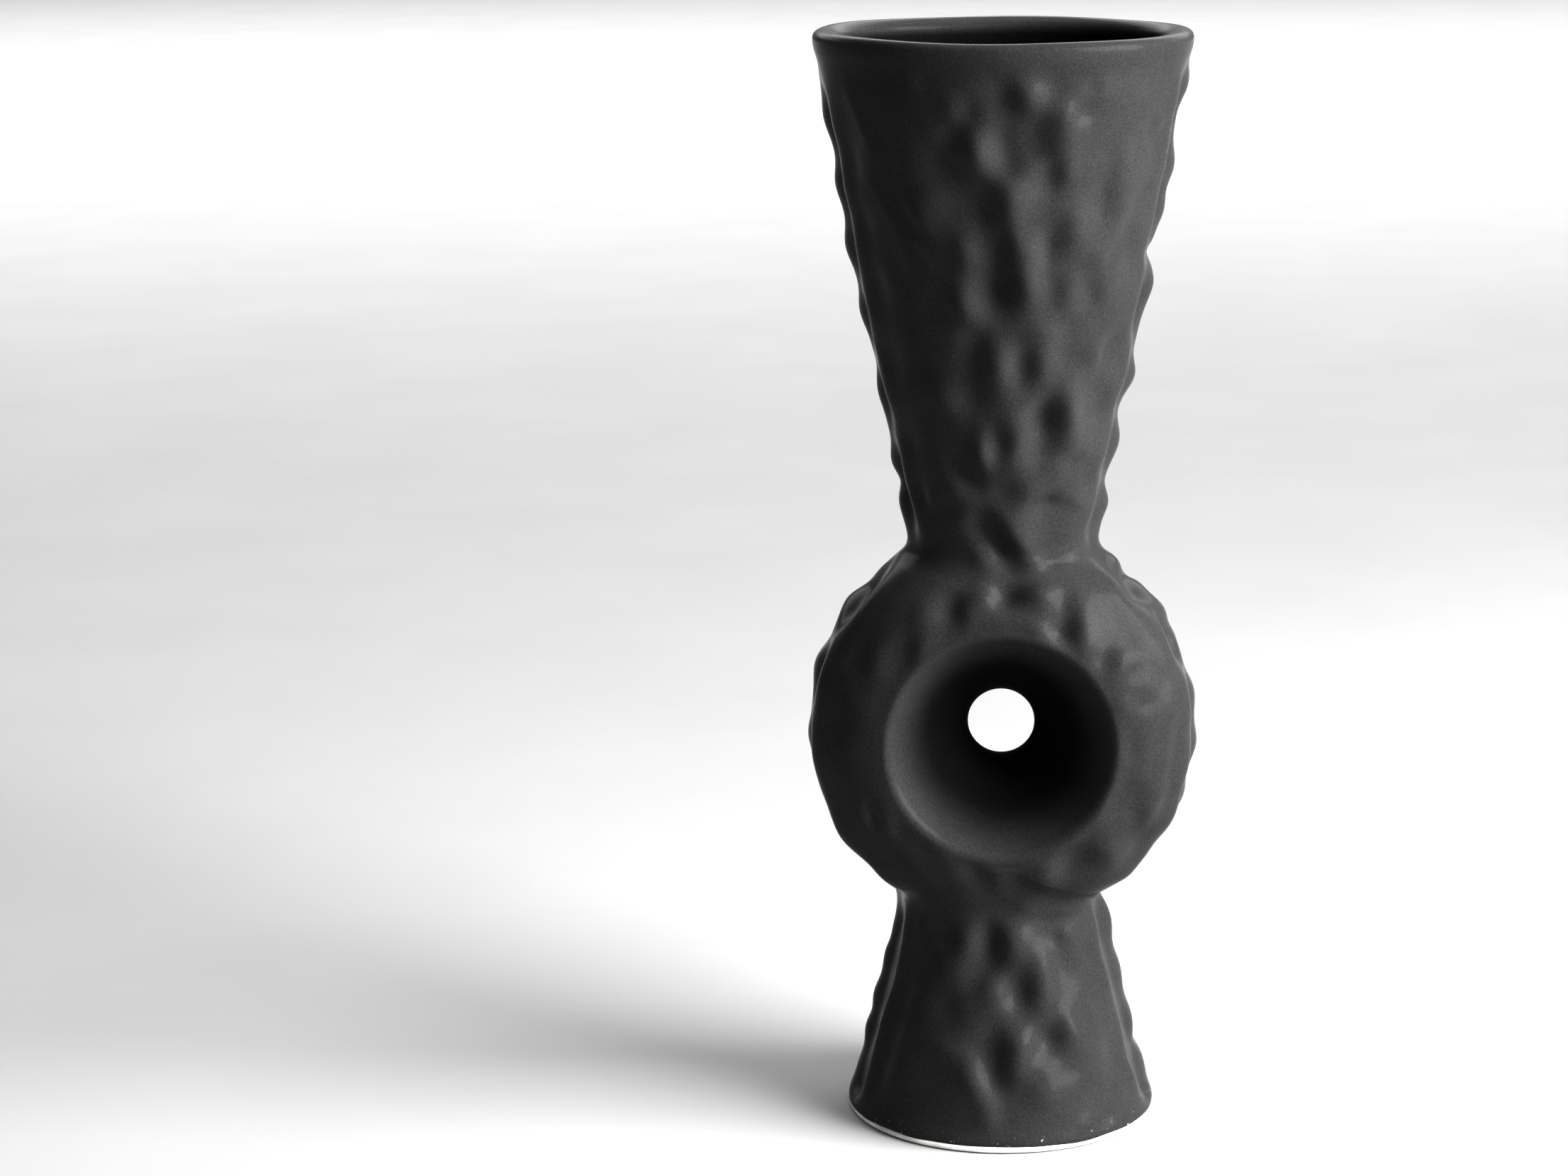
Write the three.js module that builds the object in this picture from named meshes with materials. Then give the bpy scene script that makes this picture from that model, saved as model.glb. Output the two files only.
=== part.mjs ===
// A tall fired-clay vase: a flared neck, a round drum body with a funnel-shaped tunnel
// right through it, and a flared foot. It is built as a potter builds it, from separate
// clay sections luted together with coils. Millimetres, +Z up, and the tunnel runs along Y
// with the vase's front towards -Y. The origin is the middle of the foot's standing face.
import * as THREE from 'three';

// Driving dimensions
const HEIGHT = 500;
const WALL = 7; // thickness of the neck, the body and the foot
const GAP = 0.3; // left between two sections that touch

const RIM_RADIUS = 84.4; // at the widest point of the lip
const LIP_INNER_RADIUS = 72;
const LIP_DROP = 4; // from the lip's crest down to its widest point
const LIP_ROUNDING = 5; // of the lip's outer edge
const LIP_INNER_ROUNDING = 2;
const RIM_COIL_HEIGHT = 17;

const NECK_TOP_RADIUS = 83.2; // of the neck's cone, were it to run on to the lip's widest point
const NECK_WAIST_RADIUS = 41.8;
const NECK_WAIST_HEIGHT = 268;
const WAIST_DEPTH_RATIO = 0.92; // front to back over side to side, at both waists
const OVAL_SHARE = 0.8; // of the way from a waist to the cone's far end, where it has become round

const BODY_CENTRE_HEIGHT = 185;
const BODY_RADIUS = 88.6; // seen from the front
const BODY_HALF_DEPTH = 56;
const BODY_DEPTH_POWER = 3.2; // 2 would be a round side profile, and more is a flatter face
const BODY_FACE_POWER = 2.1; // the same for the outline seen from the front

const MOUTH_RADIUS = 50.5;
const MOUTH_BORDER_RADIUS = 54.5; // where the tunnel's rounded lip meets the body's face
const MOUTH_LIP_DEPTH = 6; // over which the lip rounds into the funnel
const MOUTH_LIP_PROUD = 0.3;
const THROAT_RADIUS = 15.3;
const THROAT_SOFTNESS = 6; // how gently the two cones turn into each other
const COLLAR_HALF_LENGTH = 6;
const COLLAR_PROUD = 4; // beyond the wall, inside the body

const FOOT_RADIUS = 72.8; // where the foot's cone would meet the ground
const FOOT_WAIST_RADIUS = 46.6;
const FOOT_WAIST_HEIGHT = 104;
const FOOT_RING_HEIGHT = 2.4;
const FOOT_RING_INSET = 2.2;
const FOOT_RING_WIDTH = 7;
const FOOT_CORNER = 3; // height of the foot wall's slanted lower edge
const FOOT_OVERHANG = 0.6; // of that edge over the standing ring
const FLOOR_UNDERSIDE = 4.5;
const FLOOR_THICKNESS = 7;
const CORNER_COIL_REACH = 7; // along the floor and up the wall
const CORNER_COIL_HOLLOW = 0.6; // how far the fillet's middle is pressed back, as a share of its reach

const SEAM_CLEARANCE = 0.001; // radians that keep a border point off the seam plane
const SEAM_COIL_WIDTH = 16; // of the strip over the body's seam, inside
const SEAM_COIL_PROUD = 3;
const JOINT_REACH = 6; // how far a joint coil's fillet runs along each wall

// Finger dents all over the outside
const DENT_DEPTH = 1.3;
const DENT_ROW_PITCH = 48;
const DENT_COLUMNS = 11;
const ROW_WAVE = 1.7; // how far the rows wander up and down, in radians of their own wave
const ROW_WAVES = 3; // round the vase
const COLUMN_WAVE = 1.4; // how far the columns wander sideways
const COLUMN_WAVE_PITCH = 120;
const DENT_FADE = 12; // over which the dents fade out at the rim, the tunnel's mouth and the foot

// Mesh density
const COLUMNS = 40; // round the neck and the foot
const SIDE_COLUMNS = 12; // along each side of the body between neck and foot
const BODY_COLUMNS = COLUMNS + 2 * SIDE_COLUMNS;
const TUNNEL_COLUMNS = 32;
const NECK_ROWS = 19;
const BODY_ROWS = 7;
const FOOT_ROWS = 9;
const FUNNEL_ROWS = 5;
const INNER_ROWS = 4;
const CURVE_STEPS = 3;
const FILLET_STEPS = 4;

const TURN = 2 * Math.PI;
const blackGlaze = new THREE.MeshStandardMaterial({ color: 0x2a2a2c, roughness: 0.55, metalness: 0 });
const bareClay = new THREE.MeshStandardMaterial({ color: 0xd9d4ca, roughness: 0.9, metalness: 0 });

const lerp = THREE.MathUtils.lerp;
const smoothstep = THREE.MathUtils.smoothstep;
const steps = (count) => Array.from({ length: count + 1 }, (_, i) => i / count);
const power = (value, exponent) => Math.pow(Math.abs(value), exponent);

// ---- The smooth form ----

// Neck and foot are cones that are a little oval at the waist and round at the far end.
const neckTop = HEIGHT - LIP_DROP;
const rimCoilBase = HEIGHT - RIM_COIL_HEIGHT;

function neckRadius(z) {
  return lerp(NECK_WAIST_RADIUS, NECK_TOP_RADIUS, (z - NECK_WAIST_HEIGHT) / (neckTop - NECK_WAIST_HEIGHT));
}

function footRadius(z) {
  return lerp(FOOT_RADIUS, FOOT_WAIST_RADIUS, z / FOOT_WAIST_HEIGHT);
}

function depthRatio(z) {
  const alongNeck = (z - NECK_WAIST_HEIGHT) / (neckTop - NECK_WAIST_HEIGHT);
  const alongFoot = (FOOT_WAIST_HEIGHT - z) / FOOT_WAIST_HEIGHT;
  const awayFromWaist = Math.max(0, Math.min(1, Math.max(alongNeck, alongFoot)));
  return lerp(WAIST_DEPTH_RATIO, 1, smoothstep(awayFromWaist, 0, OVAL_SHARE));
}

function roundPoint(angle, radius, z) {
  return new THREE.Vector3(radius * Math.cos(angle), radius * depthRatio(z) * Math.sin(angle), z);
}

// The body's surface, thinned by inset. turn goes round the tunnel's axis from +X through +Z,
// and lean goes from 0 at the tunnel's axis to a quarter turn at the seam plane y = 0.
function bodyPoint(turn, lean, side, inset = 0) {
  const squareness = power(Math.cos(turn), BODY_FACE_POWER) + power(Math.sin(turn), BODY_FACE_POWER);
  const radius = (BODY_RADIUS - inset) * Math.pow(squareness, -1 / BODY_FACE_POWER);
  const across = power(Math.sin(lean) / radius, BODY_DEPTH_POWER);
  const along = power(Math.cos(lean) / (BODY_HALF_DEPTH - inset), BODY_DEPTH_POWER);
  const reach = Math.pow(across + along, -1 / BODY_DEPTH_POWER);
  const spread = reach * Math.sin(lean);
  return new THREE.Vector3(
    spread * Math.cos(turn),
    side * reach * Math.cos(lean),
    BODY_CENTRE_HEIGHT + spread * Math.sin(turn),
  );
}

// How far the body's surface is above or below its centre at a place x, y.
function bodyRise(x, y, inset = 0) {
  const depthShare = power(y / (BODY_HALF_DEPTH - inset), BODY_DEPTH_POWER);
  const radius = (BODY_RADIUS - inset) * Math.pow(1 - depthShare, 1 / BODY_DEPTH_POWER);
  return Math.pow(power(radius, BODY_FACE_POWER) - power(x, BODY_FACE_POWER), 1 / BODY_FACE_POWER);
}

function tunnelRadius(y) {
  const slope = (MOUTH_RADIUS - THROAT_RADIUS) / (Math.hypot(faceDepth, THROAT_SOFTNESS) - THROAT_SOFTNESS);
  return THROAT_RADIUS + slope * (Math.hypot(y, THROAT_SOFTNESS) - THROAT_SOFTNESS);
}

// Distance of the body's face from the seam plane, at a distance from the tunnel's axis.
function bodyDepth(fromAxis, inset = 0) {
  const share = power(fromAxis / (BODY_RADIUS - inset), BODY_DEPTH_POWER);
  return (BODY_HALF_DEPTH - inset) * Math.pow(1 - share, 1 / BODY_DEPTH_POWER);
}

const faceDepth = bodyDepth(MOUTH_BORDER_RADIUS);
const innerFaceDepth = bodyDepth(MOUTH_BORDER_RADIUS, WALL);

// ---- Finger dents ----

// Which way the clay is pushed: level on the neck and the foot, square to the surface on the body.
function pushDirection(point) {
  const level = new THREE.Vector3(point.x, point.y, 0).normalize();
  const fromCentre = point.z - BODY_CENTRE_HEIGHT;
  const depthShare = power(point.y / BODY_HALF_DEPTH, BODY_DEPTH_POWER - 1);
  const outOfBody = new THREE.Vector3(
    point.x,
    (Math.sign(point.y) * depthShare * BODY_RADIUS * BODY_RADIUS) / BODY_HALF_DEPTH,
    fromCentre,
  ).normalize();
  const onBody = 1 - smoothstep(Math.abs(fromCentre), BODY_RADIUS - 1.5 * DENT_FADE, BODY_RADIUS);
  return level.lerp(outOfBody, onBody).normalize();
}

function dentDepth(point) {
  const angle = Math.atan2(point.y, point.x);
  const rows = Math.sin((TURN * point.z) / DENT_ROW_PITCH + ROW_WAVE * Math.sin(ROW_WAVES * angle));
  const wander = COLUMN_WAVE * Math.sin((TURN * point.z) / COLUMN_WAVE_PITCH);
  const columns = Math.sin(DENT_COLUMNS * angle + wander);
  const fromTunnelAxis = Math.hypot(point.x, point.z - BODY_CENTRE_HEIGHT);
  const offMouth = smoothstep(fromTunnelAxis, MOUTH_BORDER_RADIUS, MOUTH_BORDER_RADIUS + DENT_FADE);
  const belowRim = 1 - smoothstep(point.z, rimCoilBase - DENT_FADE, rimCoilBase);
  const aboveFoot = smoothstep(point.z, FOOT_CORNER, FOOT_CORNER + DENT_FADE);
  return DENT_DEPTH * rows * columns * offMouth * belowRim * aboveFoot;
}

function dented(point) {
  return point.clone().addScaledVector(pushDirection(point), dentDepth(point));
}

// ---- Solids from sections ----

// A closed ring. sectionAt(column) gives a closed loop of points, with the same count in each.
function ring(columns, sectionAt) {
  const sections = Array.from({ length: columns }, (_, i) => sectionAt(i));
  return loft([...sections, sections[0]], false);
}

// A bar from the first section to the last, with flat ends.
function loft(sections, capped = true) {
  const size = sections[0].length;
  const indices = [];
  for (let i = 0; i + 1 < sections.length; i += 1) {
    for (let j = 0; j < size; j += 1) {
      const [a, b] = [i * size + j, i * size + ((j + 1) % size)];
      indices.push(a, a + size, b, b, a + size, b + size);
    }
  }
  if (capped) {
    const last = (sections.length - 1) * size;
    for (let j = 1; j + 1 < size; j += 1) {
      indices.push(0, j, j + 1, last, last + j + 1, last + j);
    }
  }
  const geometry = new THREE.BufferGeometry().setFromPoints(sections.flat());
  geometry.setIndex(indices);
  geometry.computeVertexNormals();
  return geometry;
}

// A loop of [radius, height] pairs turned round Z.
function turned(profile) {
  const loop = [...profile, profile[0]].map(([radius, z]) => new THREE.Vector2(radius, z));
  return new THREE.LatheGeometry(loop, COLUMNS);
}

const columnAngle = (column) => (TURN * column) / COLUMNS;

function curve(start, corner, end, count) {
  return new THREE.QuadraticBezierCurve3(start, corner, end).getPoints(count);
}

// ---- Neck ----

// The coil that makes the lip: it flares a little more than the neck, and its crest is rounded.
function rimCoil() {
  const base = rimCoilBase + GAP;
  const outerBase = neckRadius(base);
  const innerBase = outerBase - WALL;
  const flare = new THREE.QuadraticBezierCurve(
    new THREE.Vector2(outerBase, base),
    new THREE.Vector2(RIM_RADIUS, lerp(base, neckTop, 0.5)),
    new THREE.Vector2(RIM_RADIUS, neckTop),
  );
  const shoulder = new THREE.QuadraticBezierCurve(
    new THREE.Vector2(RIM_RADIUS, neckTop),
    new THREE.Vector2(RIM_RADIUS, HEIGHT),
    new THREE.Vector2(RIM_RADIUS - LIP_ROUNDING, HEIGHT),
  );
  const corner = new THREE.QuadraticBezierCurve(
    new THREE.Vector2(LIP_INNER_RADIUS + LIP_INNER_ROUNDING, HEIGHT),
    new THREE.Vector2(LIP_INNER_RADIUS, HEIGHT),
    new THREE.Vector2(LIP_INNER_RADIUS, HEIGHT - LIP_INNER_ROUNDING),
  );
  const curves = [
    ...flare.getPoints(CURVE_STEPS),
    ...shoulder.getPoints(CURVE_STEPS).slice(1),
    ...corner.getPoints(CURVE_STEPS),
  ];
  return turned([...curves.map((p) => [p.x, p.y]), [innerBase, base]]);
}

// Height of the crease where the neck meets the body, or where the foot does (sign -1).
function creaseHeight(angle, sign, inset) {
  const radius = (sign > 0 ? NECK_WAIST_RADIUS : FOOT_WAIST_RADIUS) - inset;
  const rise = bodyRise(radius * Math.cos(angle), radius * WAIST_DEPTH_RATIO * Math.sin(angle), inset);
  return BODY_CENTRE_HEIGHT + sign * rise;
}

function neckWall() {
  return ring(COLUMNS, (column) => {
    const angle = columnAngle(column);
    const bottom = creaseHeight(angle, 1, 0) + JOINT_REACH + GAP;
    const outside = steps(NECK_ROWS).map((t) => {
      const z = lerp(bottom, rimCoilBase, t);
      return dented(roundPoint(angle, neckRadius(z), z));
    });
    const inside = steps(INNER_ROWS).map((t) => {
      const z = lerp(rimCoilBase, bottom, t);
      return roundPoint(angle, neckRadius(z) - WALL, z);
    });
    return [...outside, ...inside];
  });
}

// ---- The coils that lute neck and foot to the body ----

// Where a joint coil's fillet ends on the body, as turn and lean of bodyPoint.
function jointBorder(angle, sign, extra) {
  const radius = (sign > 0 ? NECK_WAIST_RADIUS : FOOT_WAIST_RADIUS) + JOINT_REACH + extra;
  const x = radius * Math.cos(angle);
  const y = radius * WAIST_DEPTH_RATIO * Math.sin(angle);
  const rise = sign * bodyRise(x, y);
  const lean = Math.atan2(Math.hypot(x, rise), Math.abs(y));
  return { turn: Math.atan2(rise, x), lean, side: Math.sign(y) };
}

function jointCoil(sign) {
  const wallRadius = sign > 0 ? neckRadius : footRadius;
  return ring(COLUMNS, (column) => {
    const angle = -sign * columnAngle(column);
    const crease = creaseHeight(angle, sign, 0);
    const innerCrease = creaseHeight(angle, sign, WALL);
    const wallEnd = crease + sign * JOINT_REACH;
    const border = jointBorder(angle, sign, 0);
    const outside = curve(
      roundPoint(angle, wallRadius(wallEnd), wallEnd),
      roundPoint(angle, wallRadius(crease), crease),
      bodyPoint(border.turn, border.lean, border.side),
      FILLET_STEPS,
    ).map(dented);
    const inside = curve(
      bodyPoint(border.turn, border.lean, border.side, WALL),
      roundPoint(angle, wallRadius(innerCrease) - WALL, innerCrease),
      roundPoint(angle, wallRadius(wallEnd) - WALL, wallEnd),
      CURVE_STEPS,
    );
    return [...inside, ...outside];
  });
}

// ---- Body ----

const seamLean = Math.PI / 2 - GAP / 2 / BODY_RADIUS;

// The outer border of one body half, column by column: over the neck's joint, down the seam,
// under the foot's joint and up the seam again.
function bodyBorder(column, side) {
  const half = COLUMNS / 2;
  const joint = (step, sign) => {
    const inPlane = THREE.MathUtils.clamp(columnAngle(step), SEAM_CLEARANCE, Math.PI - SEAM_CLEARANCE);
    return jointBorder(side * inPlane, sign, GAP);
  };
  if (column <= half) return joint(column, 1);
  const topTurn = joint(0, 1).turn;
  const bottomTurn = joint(0, -1).turn;
  if (column < half + SIDE_COLUMNS) {
    const t = (column - half) / SIDE_COLUMNS;
    return { turn: lerp(Math.PI - topTurn, Math.PI - bottomTurn, t), lean: seamLean };
  }
  if (column <= COLUMNS + SIDE_COLUMNS) {
    const under = joint(half - (column - half - SIDE_COLUMNS), -1);
    return { turn: under.turn < 0 ? under.turn + TURN : under.turn, lean: under.lean };
  }
  const t = (column - COLUMNS - SIDE_COLUMNS) / SIDE_COLUMNS;
  return { turn: lerp(TURN + bottomTurn, TURN + topTurn, t), lean: seamLean };
}

function bodyShell(side) {
  const outerMouthLean = Math.atan2(MOUTH_BORDER_RADIUS, faceDepth);
  const innerMouthLean = Math.atan2(MOUTH_BORDER_RADIUS, innerFaceDepth);
  return ring(BODY_COLUMNS, (i) => {
    const column = side > 0 ? i : BODY_COLUMNS - 1 - i;
    const border = bodyBorder(column, side);
    const mouthTurn = Math.PI / 2 + (TURN * (column - COLUMNS / 4)) / BODY_COLUMNS;
    const place = (t, mouthLean, inset) => {
      const lean = Math.min(lerp(mouthLean, border.lean, t), seamLean);
      return bodyPoint(lerp(mouthTurn, border.turn, t), lean, side, inset);
    };
    const outside = steps(BODY_ROWS).map((t) => dented(place(t, outerMouthLean, 0)));
    const inside = steps(INNER_ROWS).map((t) => place(1 - t, innerMouthLean, WALL));
    return [...inside, ...outside];
  });
}

// A strip pressed over the seam inside the body, on the side given by sign.
function seamCoil(sign) {
  const topTurn = jointBorder(0, 1, 0).turn;
  const bottomTurn = jointBorder(0, -1, 0).turn;
  const [from, to] = sign > 0 ? [bottomTurn, topTurn] : [Math.PI - topTurn, Math.PI - bottomTurn];
  const section = [
    [-SEAM_COIL_WIDTH / 2, 0],
    [-SEAM_COIL_WIDTH / 4, SEAM_COIL_PROUD],
    [SEAM_COIL_WIDTH / 4, SEAM_COIL_PROUD],
    [SEAM_COIL_WIDTH / 2, 0],
  ];
  const stretches = steps(SIDE_COLUMNS).slice(1, -1);
  return loft(
    stretches.map((t) =>
      section.map(([y, proud]) => {
        const point = bodyPoint(lerp(from, to, t), Math.PI / 2, 1, WALL + 3 * GAP + proud);
        point.y = y;
        return point;
      }),
    ),
  );
}

// ---- Tunnel ----

function tunnelPoint(column, radius, y) {
  const turn = (TURN * column) / TUNNEL_COLUMNS;
  return new THREE.Vector3(radius * Math.cos(turn), y, BODY_CENTRE_HEIGHT + radius * Math.sin(turn));
}

// The funnel from one mouth to the collar, lip included.
function tunnelCone(side) {
  const innerEnd = COLLAR_HALF_LENGTH + GAP / 2;
  const lipDepth = faceDepth - MOUTH_LIP_DEPTH;
  const lip = new THREE.QuadraticBezierCurve(
    new THREE.Vector2(MOUTH_BORDER_RADIUS - 2 * GAP, faceDepth),
    new THREE.Vector2(MOUTH_RADIUS, faceDepth + MOUTH_LIP_PROUD),
    new THREE.Vector2(tunnelRadius(lipDepth), lipDepth),
  );
  const funnel = steps(FUNNEL_ROWS).map((t) => {
    const y = lerp(lipDepth, innerEnd, t);
    return new THREE.Vector2(tunnelRadius(y), y);
  });
  const outside = [
    new THREE.Vector2(tunnelRadius(innerEnd) + WALL, innerEnd),
    new THREE.Vector2(MOUTH_BORDER_RADIUS - 2 * GAP, innerFaceDepth),
  ];
  const loop = [...lip.getPoints(CURVE_STEPS), ...funnel.slice(1), ...outside];
  return ring(TUNNEL_COLUMNS, (i) => {
    const points = loop.map((p) => tunnelPoint(i, p.x, side * p.y));
    return side < 0 ? points : points.reverse();
  });
}

// The coil that joins the two funnels at the throat.
function throatCollar() {
  const end = COLLAR_HALF_LENGTH - GAP / 2;
  const bore = steps(INNER_ROWS).map((t) => {
    const y = lerp(-end, end, t);
    return [tunnelRadius(y), y];
  });
  const proud = THROAT_RADIUS + WALL + COLLAR_PROUD;
  const swell = [
    [tunnelRadius(end) + WALL, end],
    [proud, end / 2],
    [proud, -end / 2],
    [tunnelRadius(end) + WALL, -end],
  ];
  return ring(TUNNEL_COLUMNS, (i) => [...bore, ...swell].map(([radius, y]) => tunnelPoint(i, radius, y)));
}

// ---- Foot ----

const footWallBottom = FOOT_RING_HEIGHT + GAP;
const ringOuterRadius = FOOT_RADIUS - FOOT_RING_INSET;

function footWall() {
  return ring(COLUMNS, (column) => {
    const angle = columnAngle(column);
    const top = creaseHeight(angle, -1, 0) - JOINT_REACH - GAP;
    const outside = steps(FOOT_ROWS).map((t) => {
      const z = lerp(footWallBottom + FOOT_CORNER, top, t);
      return dented(roundPoint(angle, footRadius(z), z));
    });
    const inside = steps(INNER_ROWS).map((t) => {
      const z = lerp(top, footWallBottom, t);
      return roundPoint(angle, footRadius(z) - WALL, z);
    });
    return [roundPoint(angle, ringOuterRadius + FOOT_OVERHANG, footWallBottom), ...outside, ...inside];
  });
}

function footRing() {
  const ringInnerRadius = ringOuterRadius - FOOT_RING_WIDTH;
  return turned([
    [ringInnerRadius, 0],
    [ringOuterRadius, 0],
    [ringOuterRadius, FOOT_RING_HEIGHT],
    [ringInnerRadius, FOOT_RING_HEIGHT],
  ]);
}

const floorTop = FLOOR_UNDERSIDE + FLOOR_THICKNESS;
const floorRadius = footRadius(floorTop) - WALL - GAP;

function floorSlab() {
  const profile = [
    new THREE.Vector2(0, FLOOR_UNDERSIDE),
    new THREE.Vector2(floorRadius, FLOOR_UNDERSIDE),
    new THREE.Vector2(floorRadius, floorTop),
    new THREE.Vector2(0, floorTop),
  ];
  return new THREE.LatheGeometry(profile, COLUMNS);
}

// The fillet of clay pressed into the corner between floor and wall.
function floorCornerCoil() {
  const foot = floorTop + GAP;
  const wallAt = (z) => footRadius(z) - WALL - GAP;
  const pressed = (1 - CORNER_COIL_HOLLOW) * CORNER_COIL_REACH;
  return turned([
    [wallAt(foot) - CORNER_COIL_REACH, foot],
    [wallAt(foot), foot],
    [wallAt(foot + CORNER_COIL_REACH), foot + CORNER_COIL_REACH],
    [wallAt(foot) - pressed, foot + pressed],
  ]);
}

// ---- Assembly ----

const group = new THREE.Group();

function add(name, geometry, material = blackGlaze) {
  const mesh = new THREE.Mesh(geometry, material);
  mesh.name = name;
  group.add(mesh);
  return mesh;
}

// LatheGeometry turns round Y, so its solids are stood up along Z.
function addUpright(name, geometry, material) {
  add(name, geometry, material).rotation.x = Math.PI / 2;
}

addUpright('rim_coil', rimCoil());
add('neck_wall', neckWall());
add('neck_joint_coil', jointCoil(1));
add('body_front_shell', bodyShell(-1));
add('body_back_shell', bodyShell(1));
add('seam_coil_right', seamCoil(1));
add('seam_coil_left', seamCoil(-1));
add('tunnel_front_cone', tunnelCone(-1));
add('tunnel_back_cone', tunnelCone(1));
add('throat_collar', throatCollar());
add('foot_joint_coil', jointCoil(-1));
add('foot_wall', footWall());
addUpright('floor_slab', floorSlab(), bareClay);
addUpright('floor_corner_coil', floorCornerCoil());
addUpright('foot_ring', footRing(), bareClay);

export default group;
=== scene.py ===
"""Looks for the black clay vase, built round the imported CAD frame.

Every clay section is rebuilt as a fine closed mesh whose borders meet its neighbours' exactly,
so the fired pot reads as one glazed skin. Shapes are worked out in millimetres in the frame's
own axes (+Z up, the tunnel along Y, the front towards -Y) and turned into metres at the end.
"""

import math

import bpy
import numpy as np
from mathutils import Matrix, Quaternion, Vector


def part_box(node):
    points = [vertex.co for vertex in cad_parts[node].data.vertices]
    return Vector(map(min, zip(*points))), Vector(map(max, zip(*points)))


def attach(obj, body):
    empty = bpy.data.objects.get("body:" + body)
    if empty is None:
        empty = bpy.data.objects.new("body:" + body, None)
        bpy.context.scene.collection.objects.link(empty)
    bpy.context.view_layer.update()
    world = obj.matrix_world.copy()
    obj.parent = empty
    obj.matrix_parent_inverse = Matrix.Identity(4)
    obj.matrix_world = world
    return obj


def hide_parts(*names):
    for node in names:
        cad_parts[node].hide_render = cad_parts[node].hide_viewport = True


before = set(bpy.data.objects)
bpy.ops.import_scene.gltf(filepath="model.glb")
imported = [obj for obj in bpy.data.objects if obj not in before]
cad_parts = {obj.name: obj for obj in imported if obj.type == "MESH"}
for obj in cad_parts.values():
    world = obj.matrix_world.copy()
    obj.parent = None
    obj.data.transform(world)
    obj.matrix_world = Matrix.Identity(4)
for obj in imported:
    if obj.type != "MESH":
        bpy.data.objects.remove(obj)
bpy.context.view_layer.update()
MM = 0.001
TURN = 2 * math.pi

# ---- Sizes, in millimetres, from the frame where it states them ----


def box_mm(node):
    low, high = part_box(node)
    return np.array(low) / MM, np.array(high) / MM


rim_low, rim_high = box_mm("rim_coil")
collar_low, collar_high = box_mm("throat_collar")
_, cone_high = box_mm("tunnel_front_cone")
_, ring_high = box_mm("foot_ring")
slab_low, slab_high = box_mm("floor_slab")

HEIGHT = rim_high[2]
RIM_BASE = rim_low[2]
RIM_RADIUS = rim_high[0]
BODY_CENTRE = (collar_low[2] + collar_high[2]) / 2
MOUTH_BORDER = cone_high[0]  # where the tunnel's lip meets the body's face
FOOT_RING_RADIUS = ring_high[0]
FOOT_RING_HEIGHT = ring_high[2]
FLOOR_LOW, FLOOR_HIGH = slab_low[2], slab_high[2]

WALL = 7
LIP_DROP = 4
LIP_ROUNDING = 5
LIP_INNER_RADIUS = 72
NECK_WAIST_RADIUS, NECK_WAIST_HEIGHT = 41.8, 268
FOOT_RADIUS, FOOT_WAIST_RADIUS, FOOT_WAIST_HEIGHT = 72.8, 46.6, 104
WAIST_DEPTH_RATIO = 0.92
BODY_RADIUS, BODY_HALF_DEPTH = 88.6, 56
DEPTH_POWER, FACE_POWER = 3.2, 2.1
MOUTH_RADIUS, THROAT_RADIUS, THROAT_SOFTNESS = 50.5, 15.3, 6
COLLAR_HALF_LENGTH = 6
JOINT_REACH = 9
RING_PROUD = 0.7

COLUMNS = 192  # round the neck and the foot
SIDE_COLUMNS = 72  # along each side of the body between neck and foot

# ---- The smooth form ----


def lerp(a, b, t):
    return a + (b - a) * t


def smoothstep(value, low, high):
    t = np.clip((value - low) / (high - low), 0, 1)
    return t * t * (3 - 2 * t)


def power(value, exponent):
    return np.abs(value) ** exponent


def neck_radius(z):
    along = (z - NECK_WAIST_HEIGHT) / (HEIGHT - LIP_DROP - NECK_WAIST_HEIGHT)
    return lerp(NECK_WAIST_RADIUS, RIM_RADIUS - 1.2, along)


def foot_radius(z):
    return lerp(FOOT_RADIUS, FOOT_WAIST_RADIUS, z / FOOT_WAIST_HEIGHT)


def depth_ratio(z):
    along_neck = (z - NECK_WAIST_HEIGHT) / (HEIGHT - LIP_DROP - NECK_WAIST_HEIGHT)
    along_foot = (FOOT_WAIST_HEIGHT - z) / FOOT_WAIST_HEIGHT
    return lerp(WAIST_DEPTH_RATIO, 1, smoothstep(np.maximum(along_neck, along_foot), 0, 0.8))


def round_point(angle, radius, z):
    z = z + 0 * angle
    return np.stack([radius * np.cos(angle), radius * depth_ratio(z) * np.sin(angle), z], -1)


def body_point(turn, lean, side, inset=0.0):
    """turn goes round the tunnel's axis from +X through +Z, and lean from that axis to y = 0."""
    squareness = power(np.cos(turn), FACE_POWER) + power(np.sin(turn), FACE_POWER)
    radius = (BODY_RADIUS - inset) * squareness ** (-1 / FACE_POWER)
    across = power(np.sin(lean) / radius, DEPTH_POWER)
    along = power(np.cos(lean) / (BODY_HALF_DEPTH - inset), DEPTH_POWER)
    reach = (across + along) ** (-1 / DEPTH_POWER)
    spread = reach * np.sin(lean)
    return np.stack(
        [spread * np.cos(turn), side * reach * np.cos(lean), BODY_CENTRE + spread * np.sin(turn)], -1
    )


def body_rise(x, y, inset=0.0):
    share = power(y / (BODY_HALF_DEPTH - inset), DEPTH_POWER)
    radius = (BODY_RADIUS - inset) * (1 - share) ** (1 / DEPTH_POWER)
    return (power(radius, FACE_POWER) - power(x, FACE_POWER)) ** (1 / FACE_POWER)


def body_depth(radius, inset=0.0):
    share = power(radius / (BODY_RADIUS - inset), DEPTH_POWER)
    return (BODY_HALF_DEPTH - inset) * (1 - share) ** (1 / DEPTH_POWER)


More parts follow.
